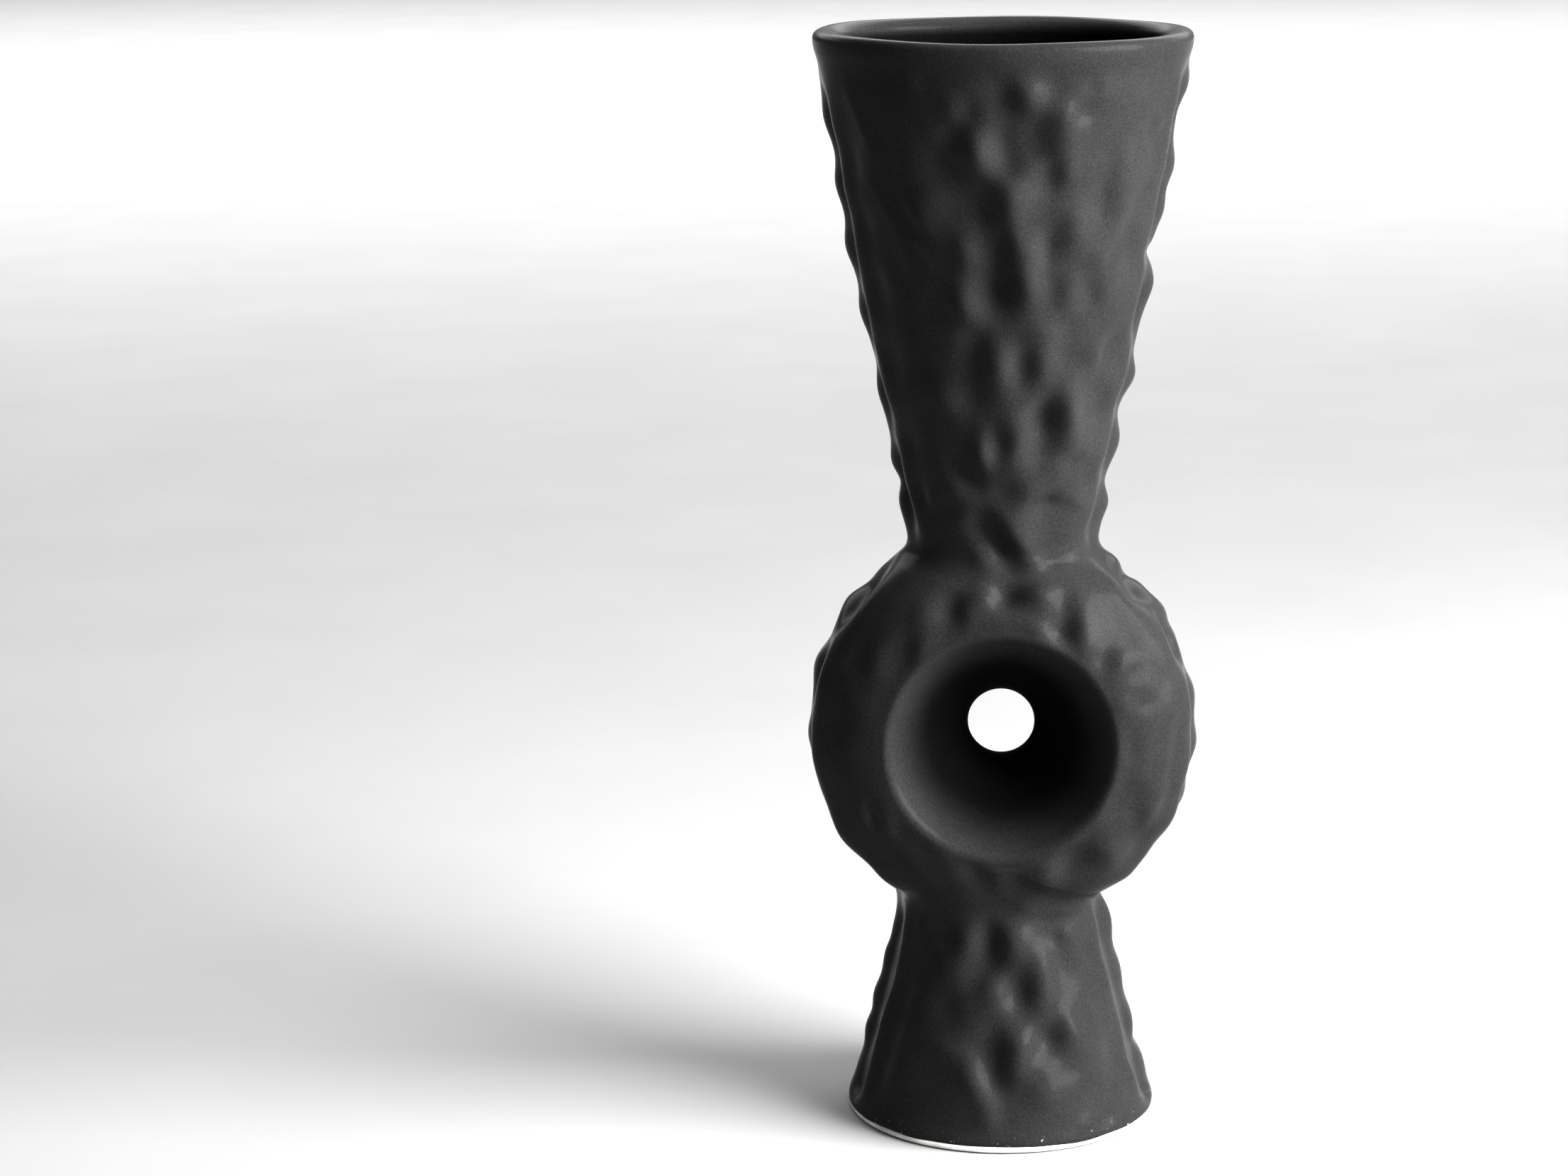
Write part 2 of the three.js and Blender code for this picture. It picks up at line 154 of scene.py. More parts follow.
def waist_radius(sign):
    return NECK_WAIST_RADIUS if sign > 0 else FOOT_WAIST_RADIUS


def crease_height(angle, sign, inset=0.0):
    radius = waist_radius(sign) - inset
    x, y = radius * np.cos(angle), radius * WAIST_DEPTH_RATIO * np.sin(angle)
    return BODY_CENTRE + sign * body_rise(x, y, inset)


def joint_border(angle, sign):
    """Where a joint coil ends on the body, as turn and lean of body_point."""
    radius = waist_radius(sign) + JOINT_REACH
    x, y = radius * np.cos(angle), radius * WAIST_DEPTH_RATIO * np.sin(angle)
    rise = sign * body_rise(x, y)
    return np.arctan2(rise, x), np.arctan2(np.hypot(x, rise), np.abs(y))


FACE_DEPTH = float(body_depth(MOUTH_BORDER))
FUNNEL_REACH = math.hypot(FACE_DEPTH, THROAT_SOFTNESS) - THROAT_SOFTNESS
TUNNEL_SLOPE = (MOUTH_RADIUS - THROAT_RADIUS) / FUNNEL_REACH


def tunnel_radius(y):
    return THROAT_RADIUS + TUNNEL_SLOPE * (np.hypot(y, THROAT_SOFTNESS) - THROAT_SOFTNESS)


def bezier(start, corner, end, count):
    t = np.linspace(0, 1, count)[:, None, None]
    return ((1 - t) ** 2 * start + 2 * t * (1 - t) * corner + t**2 * end).transpose(1, 0, 2)


# ---- Sections: each piece is a ring of loops, outside points first and inside points after ----

ANGLES = TURN * np.arange(COLUMNS) / COLUMNS
pieces = {}


def add_ring(node, outside, inside, slot="black_glaze", ends=2, closed=True):
    """A ring has two hidden end faces, or just the one from the inside back to the outside."""
    size = outside.shape[1] + inside.shape[1]
    pieces[node] = {
        "loops": np.concatenate([outside, inside], axis=1),
        "outside": outside.shape[1],
        "hidden": [outside.shape[1] - 1, size - 1][2 - ends :],
        "closed": closed,
        "slot": slot,
    }


def wall_rows(radius_at, bottom, top, rows, inset=0.0):
    """A grid of points up a round wall, from bottom to top, which may differ from column to column."""
    t = np.linspace(0, 1, rows)[None, :]
    z = lerp(np.broadcast_to(bottom, COLUMNS)[:, None], np.broadcast_to(top, COLUMNS)[:, None], t)
    return round_point(ANGLES[:, None], radius_at(z) - inset, z)


def turned(profile):
    """Points [radius, height] turned round Z."""
    profile = np.array(profile, float)
    return round_ring(profile[:, 0], profile[:, 1])


def round_ring(radius, z):
    flat = np.ones((COLUMNS, 1))
    return np.stack(
        [np.cos(ANGLES)[:, None] * radius, np.sin(ANGLES)[:, None] * radius, flat * z], -1
    )


def curve2(points, count):
    """A Bezier curve of any degree through control points in the plane."""
    t = np.linspace(0, 1, count)[:, None]
    level = [np.array(p, float)[None, :] * np.ones_like(t) for p in points]
    while len(level) > 1:
        level = [lerp(a, b, t) for a, b in zip(level, level[1:])]
    return level[0]


def add_rim():
    base = neck_radius(RIM_BASE)
    top = HEIGHT - LIP_DROP
    outer, inner = RIM_RADIUS, LIP_INNER_RADIUS
    flare = curve2([(base, RIM_BASE), (base + 1.4, RIM_BASE + 6), (outer, top - 5), (outer, top)], 10)
    shoulder = curve2([(outer, top), (outer, HEIGHT), (outer - LIP_ROUNDING, HEIGHT)], 10)
    crown = curve2([shoulder[-1], (inner + 5, HEIGHT), (inner + 2, HEIGHT - 1.6)], 6)
    corner = curve2([crown[-1], (inner, HEIGHT - 2.8), (inner, HEIGHT - 5)], 6)
    inside = curve2([corner[-1], (inner, HEIGHT - 9), (base - WALL, RIM_BASE)], 8)
    profile = np.concatenate([flare, shoulder[1:], crown[1:], corner[1:], inside[1:]])
    outside_count = len(flare)
    add_ring("rim_coil", turned(profile[:outside_count]), turned(profile[outside_count:]), ends=1)


def add_neck():
    bottom = crease_height(ANGLES, 1) + JOINT_REACH
    outside = wall_rows(neck_radius, bottom, RIM_BASE, 100)
    inside = wall_rows(neck_radius, RIM_BASE, bottom, 24, WALL)
    add_ring("neck_wall", outside, inside)


def add_joint(node, sign):
    radius_at = neck_radius if sign > 0 else foot_radius
    crease = crease_height(ANGLES, sign)
    inner_crease = crease_height(ANGLES, sign, WALL)
    wall_end = crease + sign * JOINT_REACH
    turn, lean = joint_border(ANGLES, sign)
    side = np.sign(np.round(np.sin(ANGLES), 9))
    outside = bezier(
        body_point(turn, lean, side),
        round_point(ANGLES, radius_at(crease), crease),
        round_point(ANGLES, radius_at(wall_end), wall_end),
        11,
    )
    inside = bezier(
        round_point(ANGLES, radius_at(wall_end) - WALL, wall_end),
        round_point(ANGLES, radius_at(inner_crease) - WALL, inner_crease),
        body_point(turn, lean, side, WALL),
        7,
    )
    add_ring(node, outside, inside)


def body_border(side):
    """Turn and lean of a body half's outer border: neck joint, seam, foot joint and seam again."""
    half = COLUMNS // 2
    steps = side * ANGLES[: half + 1] % TURN
    top_turn, top_lean = joint_border(steps, 1)
    foot_turn, foot_lean = joint_border(steps[::-1], -1)
    foot_turn = np.where(foot_turn < 0, foot_turn + TURN, foot_turn)
    t = np.arange(1, SIDE_COLUMNS) / SIDE_COLUMNS
    down = lerp(top_turn[-1], foot_turn[0], t)
    up = lerp(foot_turn[-1], TURN + top_turn[0], t)
    seam = np.full(len(t), math.pi / 2)
    turn = np.concatenate([top_turn, down, foot_turn, up])
    lean = np.concatenate([top_lean, seam, foot_lean, seam])
    return turn, lean


def add_body(node, side):
    turn, lean = body_border(side)
    mouth_turn = math.pi / 2 + TURN * (np.arange(len(turn)) - COLUMNS / 4) / len(turn)

    def rows(count, mouth_lean, inset):
        t = np.linspace(0, 1, count)[None, :]
        turns = lerp(mouth_turn[:, None], turn[:, None], t)
        return body_point(turns, lerp(mouth_lean, lean[:, None], t), side, inset)

    outside = rows(42, math.atan2(MOUTH_BORDER, FACE_DEPTH), 0.0)
    inside = rows(10, math.atan2(MOUTH_BORDER, body_depth(MOUTH_BORDER, WALL)), WALL)[:, ::-1]
    add_ring(node, outside, inside)
    return mouth_turn


def round_tunnel(turns, radius, y):
    z = BODY_CENTRE + radius * np.sin(turns)
    return np.stack([radius * np.cos(turns), y + 0 * z, z], -1)


def add_cone(node, side, turns):
    turns = turns[:, None]
    lip_depth = FACE_DEPTH - 4
    border = body_point(turns[:, 0], math.atan2(MOUTH_BORDER, FACE_DEPTH), 1)
    lip = bezier(
        border,
        round_tunnel(turns[:, 0], MOUTH_RADIUS, FACE_DEPTH + 1.2),
        round_tunnel(turns[:, 0], tunnel_radius(lip_depth), lip_depth),
        9,
    )
    funnel_y = np.linspace(lip_depth, COLLAR_HALF_LENGTH, 18)[None, 1:]
    outside = np.concatenate([lip, round_tunnel(turns, tunnel_radius(funnel_y), funnel_y)], axis=1)
    back = np.linspace(0, 1, 5)[None, :]
    inner_depth = body_depth(MOUTH_BORDER, WALL)
    inside = round_tunnel(
        turns,
        lerp(tunnel_radius(COLLAR_HALF_LENGTH) + WALL, MOUTH_BORDER, back),
        lerp(COLLAR_HALF_LENGTH, inner_depth, back),
    )
    mirror = np.array([1, side, 1])
    add_ring(node, outside * mirror, inside * mirror)


def add_collar(turns):
    turns = turns[:, None]
    bore_y = np.linspace(-COLLAR_HALF_LENGTH, COLLAR_HALF_LENGTH, 9)[None, :]
    end = tunnel_radius(COLLAR_HALF_LENGTH) + WALL
    swell = curve2([(end, COLLAR_HALF_LENGTH), (end + 8, 3), (end + 8, -3), (end, -COLLAR_HALF_LENGTH)], 7)
    outside = round_tunnel(turns, tunnel_radius(bore_y), bore_y)
    inside = round_tunnel(turns, swell[None, :, 0], swell[None, :, 1])
    add_ring("throat_collar", outside, inside)


def add_foot():
    top = crease_height(ANGLES, -1) - JOINT_REACH
    wave = 0.35 * np.sin(3 * ANGLES + 0.6) + 0.25 * np.sin(7 * ANGLES) + 0.15 * np.sin(16 * ANGLES + 2)
    edge = FOOT_RING_HEIGHT + 0.5 + wave
    under = round_point(ANGLES, FOOT_RING_RADIUS - 1.0, edge + 0.2)
    lowest = round_point(ANGLES, FOOT_RING_RADIUS + 0.5, edge)
    corner = round_point(ANGLES, foot_radius(edge) - 0.2, edge + 0.5)
    start = round_point(ANGLES, foot_radius(edge + 3.2), edge + 3.2)
    rounded = bezier(lowest, corner, start, 7)
    wall = wall_rows(foot_radius, edge + 3.2, top, 54)
    inside = wall_rows(foot_radius, top, FOOT_RING_HEIGHT + 1.2, 14, WALL)
    add_ring("foot_wall", np.concatenate([under[:, None], rounded, wall[:, 1:]], axis=1), inside)


def add_foot_ring():
    outer, inner = FOOT_RING_RADIUS + RING_PROUD, FOOT_RING_RADIUS - WALL
    top = FOOT_RING_HEIGHT + 0.9
    soft = 0.5
    standing = [(inner, soft), (inner + soft, 0), (outer - 2, 0)]
    outside = standing + [(outer - 0.6, 0.5), (outer, 1.0), (outer, top)]
    add_ring("foot_ring", turned(outside), turned([(inner, top)]), "bare_clay", ends=1)


def add_floor_corner():
    foot = FLOOR_HIGH
    reach = 7
    wall, low_wall = foot_radius(foot + reach) - WALL, foot_radius(foot) - WALL
    fillet = curve2([(wall, foot + reach), (low_wall, foot), (low_wall - reach, foot)], 9)
    add_ring("floor_corner_coil", turned(fillet), turned([(low_wall, foot)]))


def add_seam_strip(node, sign):
    """The strip of clay pressed over the body's seam, inside."""
    top, _ = joint_border(np.array([0.0]), 1)
    bottom, _ = joint_border(np.array([0.0]), -1)
    turns = np.linspace(bottom[0] + 0.08, top[0] - 0.08, 60)[:, None]
    turns = turns if sign > 0 else math.pi - turns
    swell = curve2([(-8, 0), (-5, 4.5), (5, 4.5), (8, 0)], 12)
    ends = np.minimum(1, 8 * np.minimum(np.linspace(0, 1, 60), np.linspace(1, 0, 60)))[:, None]
    proud = 0.3 + swell[None, :, 1] * ends
    strip = body_point(turns, np.full_like(turns, math.pi / 2), 1, WALL + proud)
    strip[..., 1] = swell[None, :, 0] * lerp(0.5, 1, ends)
    backing = body_point(turns, np.full_like(turns, math.pi / 2), 1, WALL - 0.5)
    add_ring(node, strip, backing, closed=False)


add_rim()
add_neck()
add_joint("neck_joint_coil", 1)
mouth_turns = add_body("body_front_shell", -1)
add_body("body_back_shell", 1)
add_seam_strip("seam_coil_right", 1)
add_seam_strip("seam_coil_left", -1)
add_cone("tunnel_front_cone", -1, mouth_turns)
add_cone("tunnel_back_cone", 1, mouth_turns)
add_collar(mouth_turns)
add_joint("foot_joint_coil", -1)
add_foot()
add_floor_corner()
add_foot_ring()

# ---- Faces and shared smooth normals ----


def ring_quads(piece):
    """All quads of a ring, and which of them lie on its skin and not on a hidden end face."""
    columns, size = piece["loops"].shape[:2]
    i = np.arange(columns if piece["closed"] else columns - 1)[:, None]
    j = np.arange(size)[None, :]
    here, there = i * size, ((i + 1) % columns) * size
    quads = np.stack([here + j, there + j, there + (j + 1) % size, here + (j + 1) % size], -1)
    skin = np.ones((len(i), size), bool)
    skin[:, piece["hidden"]] = False
    return quads.reshape(-1, 4), skin.reshape(-1)


def signed_volume(points, quads):
    a, b, c, d = (points[quads[:, k]] for k in range(4))
    return np.einsum("ij,ij->", a, np.cross(b, c)) + np.einsum("ij,ij->", a, np.cross(c, d))


start = 0
for piece in pieces.values():
    piece["points"] = piece["loops"].reshape(-1, 3)
    quads, skin = ring_quads(piece)
    if signed_volume(piece["points"], quads) < 0:
        quads = quads[:, ::-1]
    piece["quads"], piece["skin"] = quads, skin
    piece["start"] = start
    start += len(piece["points"])

base = np.concatenate([piece["points"] for piece in pieces.values()])
skin_quads = np.concatenate([piece["quads"][piece["skin"]] + piece["start"] for piece in pieces.values()])
shared = np.unique(np.round(base, 3) + 0.0, axis=0, return_inverse=True)[1].reshape(-1)


def smooth_normals(points):
    """A normal at every point, the same for pieces that meet there."""
    a, b, c, d = (points[skin_quads[:, k]] for k in range(4))
    facing = np.cross(c - a, d - b)
    total = np.zeros((shared.max() + 1, 3))
    for k in range(4):
        np.add.at(total, shared[skin_quads[:, k]], facing)
    total /= np.maximum(np.linalg.norm(total, axis=1, keepdims=True), 1e-12)
    return total[shared]


# ---- Relief: the hollows and lumps that fingers left in the clay ----

# Presses seen from the front: across, height, half width, half height, tilt in degrees, push.
# A press leaves the clay proud on one side and hollow on the other, so that it slopes to the
# right where the push is positive, and to the left where it is negative.
NECK_PRESSES = [
    (34, 440, 8, 16, 0, 0.6), (46, 412, 7, 14, 0, 0.5), (34, 382, 7, 10, 0, 0.5),
    (47, 430, 5, 14, 0, -0.6), (24, 392, 4, 8, 0, -0.5), (22, 363, 6, 8, 0, 0.5),
    (-30, 450, 7, 16, 25, 0.4), (-42, 405, 6, 16, 25, -0.4), (17, 486, 5, 9, 0, 0.9),
    (31, 471, 5, 5, 0, 0.7), (-5, 456, 5, 10, 5, 1.4), (-17, 473, 4, 6, -20, 0.6),
    (-24, 463, 4, 4, 0, 0.3), (-25, 430, 7, 9, 20, 0.8), (13, 438, 8, 9, 0, 1.1),
    (10, 424, 5, 7, 0, 0.2), (16, 411, 4, 7, 0, 0.9), (-12, 412, 4, 9, 15, 0.8),
    (-10, 391, 5, 12, 10, 1.3), (-37, 486, 3, 5, 0, 0.4), (45, 408, 4, 5, 0, 0.3),
    (54, 454, 4, 6, 0, 0.3), (43, 443, 4, 8, -30, 0.4), (15, 398, 4, 6, 0, 0.2),
    (58, 482, 4, 6, 0, 0.3), (-15, 373, 5, 6, 0, 0.4), (24, 375, 6, 6, 0, 0.8),
    (43, 363, 4, 5, 0, 0.5), (3, 361, 4, 9, 0, 0.5), (-20, 343, 6, 8, 0, 0.8),
    (12, 333, 6, 8, 0, 1.0), (11, 316, 6, 7, 0, 0.9), (26, 312, 5, 5, 0, 0.6),
    (-5, 322, 3, 9, 0, 0.7), (-17, 305, 4, 9, 35, 0.6), (14, 290, 6, 8, 0, 0.9),
    (16, 275, 6, 5, 0, 0.3), (-14, 284, 5, 6, 0, 0.3), (-6, 273, 4, 9, 35, 0.6),
    (32, 342, 4, 9, 0, 0.4), (6, 480, 5, 11, 15, -1.1), (21, 461, 6, 12, 0, -1.1),
    (24, 446, 3, 7, 0, -0.5), (-2, 431, 5, 11, 0, -1.1), (2, 413, 3, 9, 0, -0.6),
    (5, 397, 5, 12, 10, -1.3), (27, 419, 5, 9, 0, -0.7), (40, 484, 3, 4, 0, -0.5),
    (-19, 450, 7, 8, 30, -0.5), (66, 463, 3, 5, 0, -0.5), (40, 390, 4, 8, 0, -0.5),
    (7, 448, 4, 5, 0, -0.4), (-23, 386, 4, 8, 0, -0.3), (57, 416, 4, 7, -20, -0.4),
    (-38, 425, 3, 12, 30, -0.5), (-8, 361, 5, 13, 0, -0.9), (14, 358, 4, 10, 0, -0.6),
    (24, 333, 5, 13, 0, -1.5), (-13, 313, 5, 12, 15, -0.6), (3, 325, 3, 6, 0, -0.3),
    (6, 300, 6, 7, 0, -0.8), (31, 294, 5, 4, 0, -0.8), (24, 296, 3, 3, 0, -0.3),
    (1, 280, 4, 14, 33, -1.2), (-19, 291, 5, 6, 0, -0.3), (-34, 297, 4, 6, 0, -0.3),
    (44, 347, 4, 8, 0, -0.4),
]
BODY_PRESSES = [
    (18, 266, 5, 3, 0, 0.8), (-4, 254, 4, 6, 0, 0.9), (24, 252, 4, 6, 0, 0.4),
    (21, 239, 5, 6, 0, 0.9), (42, 232, 5, 9, 0, 0.6), (55, 220, 4, 5, 0, 0.35),
    (58, 205, 5, 5, 0, 0.5), (54, 185, 4, 10, 0, 0.5), (46, 158, 5, 8, 0, 0.6),
    (26, 129, 5, 8, 0, 0.7), (-17, 127, 5, 6, 0, 0.4), (-29, 246, 5, 8, 0, 0.5),
    (-52, 224, 5, 9, 0, 0.5), (-60, 151, 3, 9, 20, 0.5), (-49, 146, 3, 5, 0, 0.3),
    (10, 255, 6, 6, 0, -1.0), (33, 243, 4, 11, 0, -0.7), (-18, 248, 4, 8, 0, -0.6),
    (-39, 230, 4, 9, 0, -0.5), (49, 225, 4, 5, 0, -0.5), (62, 232, 5, 6, 0, -0.3),
    (43, 135, 7, 8, 0, -1.1), (65, 164, 6, 6, 0, -0.5), (64, 155, 4, 5, 0, -0.4),
    (-5, 124, 4, 9, 25, -0.6), (12, 122, 6, 6, 0, -0.5), (-29, 136, 8, 8, 0, -0.4),
    (-56, 150, 3, 7, 0, -0.3),
]
FOOT_PRESSES = [
    (-9, 94, 4, 8, 0, 0.5), (-15, 79, 5, 10, -30, 0.7), (14, 95, 6, 9, 0, 0.6),
    (23, 83, 5, 10, 0, 0.8), (1, 71, 5, 9, 0, 1.1), (34, 57, 4, 6, 0, 0.5),
    (15, 48, 5, 7, 0, 0.9), (27, 35, 6, 6, 0, 0.5), (-18, 46, 8, 5, 0, 0.6),
    (-8, 34, 4, 11, 20, 0.9), (-3, 19, 4, 9, 0, 0.5), (45, 10, 5, 5, 0, 0.4),
    (0, 89, 5, 13, 8, -1.2), (14, 71, 5, 12, 0, -1.1), (2, 42, 5, 14, 5, -1.2),
    (29, 50, 5, 8, 0, -1.0), (-20, 64, 6, 9, 0, -0.5), (-24, 33, 8, 8, 0, -0.4),
    (-21, 93, 5, 7, 0, -0.4), (28, 93, 3, 4, 0, -0.4), (38, 73, 6, 9, 0, -0.4),
    (-31, 79, 4, 8, 0, -0.3), (7, 108, 5, 5, 0, -0.5), (16, 26, 6, 7, 0, -0.8),
    (50, 24, 7, 8, 0, -0.5),
]
PRESSES = [(NECK_PRESSES, 2.3), (BODY_PRESSES, 1.9), (FOOT_PRESSES, 2.0)]  # with their depths
PRESS_WIDTH, PRESS_LENGTH = 1.2, 0.7

# Long low ridges on the front: across, height, half width, half height, tilt in degrees.
FRONT_RIDGES = [
    (-60, 464, 3, 15, 24), (-45, 423, 3, 15, 36), (-58, 372, 3, 14, 25), (-34, 100, 3, 10, -20),
    (76, 182, 3, 15, -8), (67, 152, 3, 9, -30), (67, 242, 3, 9, 35), (28, 106, 7, 2, 0),
]
RIDGE_HEIGHT = 1.0

# Heights of the bulges along the two side outlines of the neck, the body and the foot.
OUTLINE_BULGES = {
    "neck": {-1: [289, 305, 339, 376, 405, 433, 460], 1: [287, 316, 344, 382, 421, 441, 470]},
    "body": {-1: [118, 140, 176, 211, 245], 1: [123, 153, 173, 197, 231, 252]},
    "foot": {-1: [18, 35, 51, 71, 85], 1: [22, 41, 66, 88]},
}
# Where an outline stands out (+) or in (-) besides: side, height, half height, amount.
OUTLINE_SWELLS = [
    (-1, 430, 18, 1.2), (-1, 392, 16, 1.9), (-1, 261, 4, 1.5), (-1, 247, 6, -4.6),
    (-1, 237, 5, 1.2), (-1, 220, 6, -1.0), (-1, 151, 5, -1.0), (-1, 135, 5, 2.0),
    (-1, 121, 5, -3.6), (-1, 106, 5, 2.2), (-1, 87, 5, -0.8), (-1, 45, 18, 1.0),
    (-1, 41, 4, -0.6), (-1, 20, 7, -1.3), (1, 484, 5, 1.5), (1, 466, 5, -1.5), (1, 432, 14, 1.7),
    (1, 402, 3, -2.5), (1, 391, 6, 2.9), (1, 366, 10, 1.4), (1, 348, 6, 2.4), (1, 309, 14, 1.8),
    (1, 289, 5, 2.2), (1, 272, 7, 1.6), (1, 263, 5, 1.2), (1, 252, 4, -6.0), (1, 241, 5, 2.0),
    (1, 230, 4, -2.5), (1, 180, 8, 1.7), (1, 146, 6, 2.0), (1, 133, 4, -3.0), (1, 118, 4, 3.0),
    (1, 103, 4, -1.0), (1, 88, 8, 1.4), (1, 62, 12, 0.9), (1, 29, 4, -1.2),
]
NECK_SWELL, FOOT_SWELL = 1.6, -1.0
BULGE_HEIGHT, DENT_DEPTH = 2.2, 5.2
FOOT_SHARE = 0.45  # the foot's outlines are calmer
LIP_RISE_START = 420
DEPTH_KNEE, DEPTH_SPARE = 3.2, 1.8  # so that no hollow gets through the wall
FAR_SIDE = 22  # a bump fades over this depth, so it doesn't reach a wall behind


def front_depth(x, z):
    """Distance of the vase's smooth front from the plane y = 0."""
    if FOOT_WAIST_HEIGHT < z < NECK_WAIST_HEIGHT - 2:
        return float(body_depth(math.hypot(x, z - BODY_CENTRE)))
    radius = neck_radius(z) if z > FOOT_WAIST_HEIGHT else foot_radius(z)
    return depth_ratio(z) * math.sqrt(radius**2 - x**2)


def tangent_frame(normal):
    across = np.cross([0.0, 0.0, 1.0], normal)
    across /= np.linalg.norm(across)
    return across, np.cross(normal, across)


class Skin:
    """The smooth outside, to which bumps are added one by one."""

    def __init__(self, points, normals):
        self.points, self.normals = points, normals
        self.height = np.zeros(len(points))

    def bump(self, place, half_width, half_height, tilt, amount, sideways=False):
        """A soft bump round the point of the skin nearest to place, or a slope across it."""
        nearest = np.argmin(np.sum((self.points - place) ** 2, axis=1))
        centre, normal = self.points[nearest], self.normals[nearest]
        across, up = tangent_frame(normal)
        c, s = math.cos(math.radians(tilt)), math.sin(math.radians(tilt))
        across, up = c * across + s * up, c * up - s * across
        near = np.abs(self.points[:, 2] - centre[2]) < 4 * max(half_width, half_height)
        away = self.points[near] - centre
        u, v, off = away @ across / half_width, away @ up / half_height, away @ normal / FAR_SIDE
        shape = np.exp(-0.5 * u**2 - 0.5 * v**2 - off**2)
        if sideways:
            shape *= -u * math.exp(0.5)
        self.height[near] += amount * shape


def side_place(side, z, y):
    """A point near the outline on one side, at a height and a distance y behind its middle."""
    if FOOT_WAIST_HEIGHT < z < NECK_WAIST_HEIGHT:
        spread = BODY_RADIUS * (1 - abs(y / BODY_HALF_DEPTH) ** DEPTH_POWER) ** (1 / DEPTH_POWER)
        return np.array([side * math.sqrt(max(spread**2 - (z - BODY_CENTRE) ** 2, 0)), y, z])
    radius = neck_radius(z) if z > FOOT_WAIST_HEIGHT else foot_radius(z)
    angle = y / math.sqrt(radius * RIM_RADIUS)
    return np.array([side * radius * math.cos(angle), radius * math.sin(angle), z])


def press_sides(skin):
    """Rope-like hollows down both sides: each bulge of the outline has a hollow before it."""
    chance = np.random.default_rng(3)
    for part, sides in OUTLINE_BULGES.items():
        share = FOOT_SHARE if part == "foot" else 1.0
        for side, bulges in sides.items():
            notches = [(low + high) / 2 for low, high in zip(bulges, bulges[1:])]
            gaps = [high - low for low, high in zip(bulges, bulges[1:])]
            for z in bulges:
                skin.bump(side_place(side, z, 9), 9, 8, 0, share * BULGE_HEIGHT)
                lean = side * float(chance.uniform(-25, 5))
                depth = -DENT_DEPTH * float(chance.uniform(0.8, 1.1))
                skin.bump(side_place(side, z, -13), 6.5, 11, lean, depth)
                skin.bump(side_place(side, z, -28), 5, 9, lean, 0.6 * BULGE_HEIGHT)
            for z, gap in zip(notches, gaps):
                lean = side * float(chance.uniform(-10, 25))
                depth = -DENT_DEPTH * float(chance.uniform(0.7, 1.0))
                skin.bump(side_place(side, z, 10), 8, 0.3 * gap, lean, 0.6 * share * depth)
                skin.bump(side_place(side, z, -40), 7, 9, lean, 0.5 * depth)
    for side, z, half_height, amount in OUTLINE_SWELLS:
        skin.bump(side_place(side, z, 2), 16, half_height, 0, amount)


def press_back(skin):
    """Hollows in staggered rows round the back, out of the front's sight."""
    chance = np.random.default_rng(8)
    rows = [("foot", z) for z in np.arange(20, 95, 24)] + [("neck", z) for z in np.arange(284, 475, 27)]
    for row, (part, z) in enumerate(rows):
        radius = neck_radius(z) if part == "neck" else foot_radius(z)
        count = round(math.pi * (radius - 8) / 26)
        for k in range(count):
            angle = math.pi * (k + 0.25 + 0.5 * (row % 2) + float(chance.uniform(-0.15, 0.15))) / count
            if not 0.4 < angle < math.pi - 0.4:
                continue
            place = round_point(np.array(angle), radius, z + float(chance.uniform(-4, 4)))
            half_width, half_height = float(chance.uniform(6, 8.5)), float(chance.uniform(8, 12))
            skin.bump(place, half_width, half_height, float(chance.uniform(-30, 30)), -DENT_DEPTH)
    for lean, count in ((0.98, 13), (1.26, 17)):
        for k in range(count):
            turn = TURN * (k + float(chance.uniform(-0.2, 0.2))) / count
            place = body_point(turn, lean, 1)
            half_width, half_height = float(chance.uniform(6, 8)), float(chance.uniform(7, 10))
            skin.bump(place, half_width, half_height, float(chance.uniform(-40, 40)), -0.8 * DENT_DEPTH)


def press_lightly(skin):
    """Faint unevenness everywhere."""
    chance = np.random.default_rng(21)
    for index in chance.integers(0, len(skin.points), 420):
        size = float(chance.uniform(4, 8))
        stretch = float(chance.uniform(1.0, 1.8))
        tilt, amount = float(chance.uniform(-60, 60)), float(chance.uniform(-0.45, 0.45))
        skin.bump(skin.points[index], size, size * stretch, tilt, amount)


def press_front(skin):
    for presses, depth in PRESSES:
        for x, z, half_width, half_height, tilt, push in presses:
            place = np.array([x, -front_depth(x, z), z])
            width, length = PRESS_WIDTH * half_width, PRESS_LENGTH * half_height
            skin.bump(place, width, length, tilt, depth * push, sideways=True)
    for x, z, half_width, half_height, tilt in FRONT_RIDGES:
        skin.bump(np.array([x, -front_depth(x, z), z]), half_width, half_height, tilt, RIDGE_HEIGHT)


def relief(points, normals):
    """How far the outside stands proud of the smooth form."""
    skin = Skin(points, normals)
    press_sides(skin)
    press_back(skin)
    press_lightly(skin)
    press_front(skin)
    x, _, z = points.T
    skin.height += NECK_SWELL * smoothstep(z, NECK_WAIST_HEIGHT, NECK_WAIST_HEIGHT + 50)
    skin.height += FOOT_SWELL * (1 - smoothstep(z, FOOT_WAIST_HEIGHT - 40, FOOT_WAIST_HEIGHT))
    clear_of_mouth = smoothstep(np.hypot(x, z - BODY_CENTRE), MOUTH_RADIUS, MOUTH_RADIUS + 9)
    below_rim = 1 - smoothstep(z, RIM_BASE - 10, RIM_BASE + 10)
    above_foot = smoothstep(z, 2, 12)
    height = skin.height * clear_of_mouth * below_rim * above_foot
    below_knee = np.maximum(-DEPTH_KNEE - height, 0)
    return np.maximum(height, -DEPTH_KNEE) - DEPTH_SPARE * np.tanh(below_knee / DEPTH_SPARE)


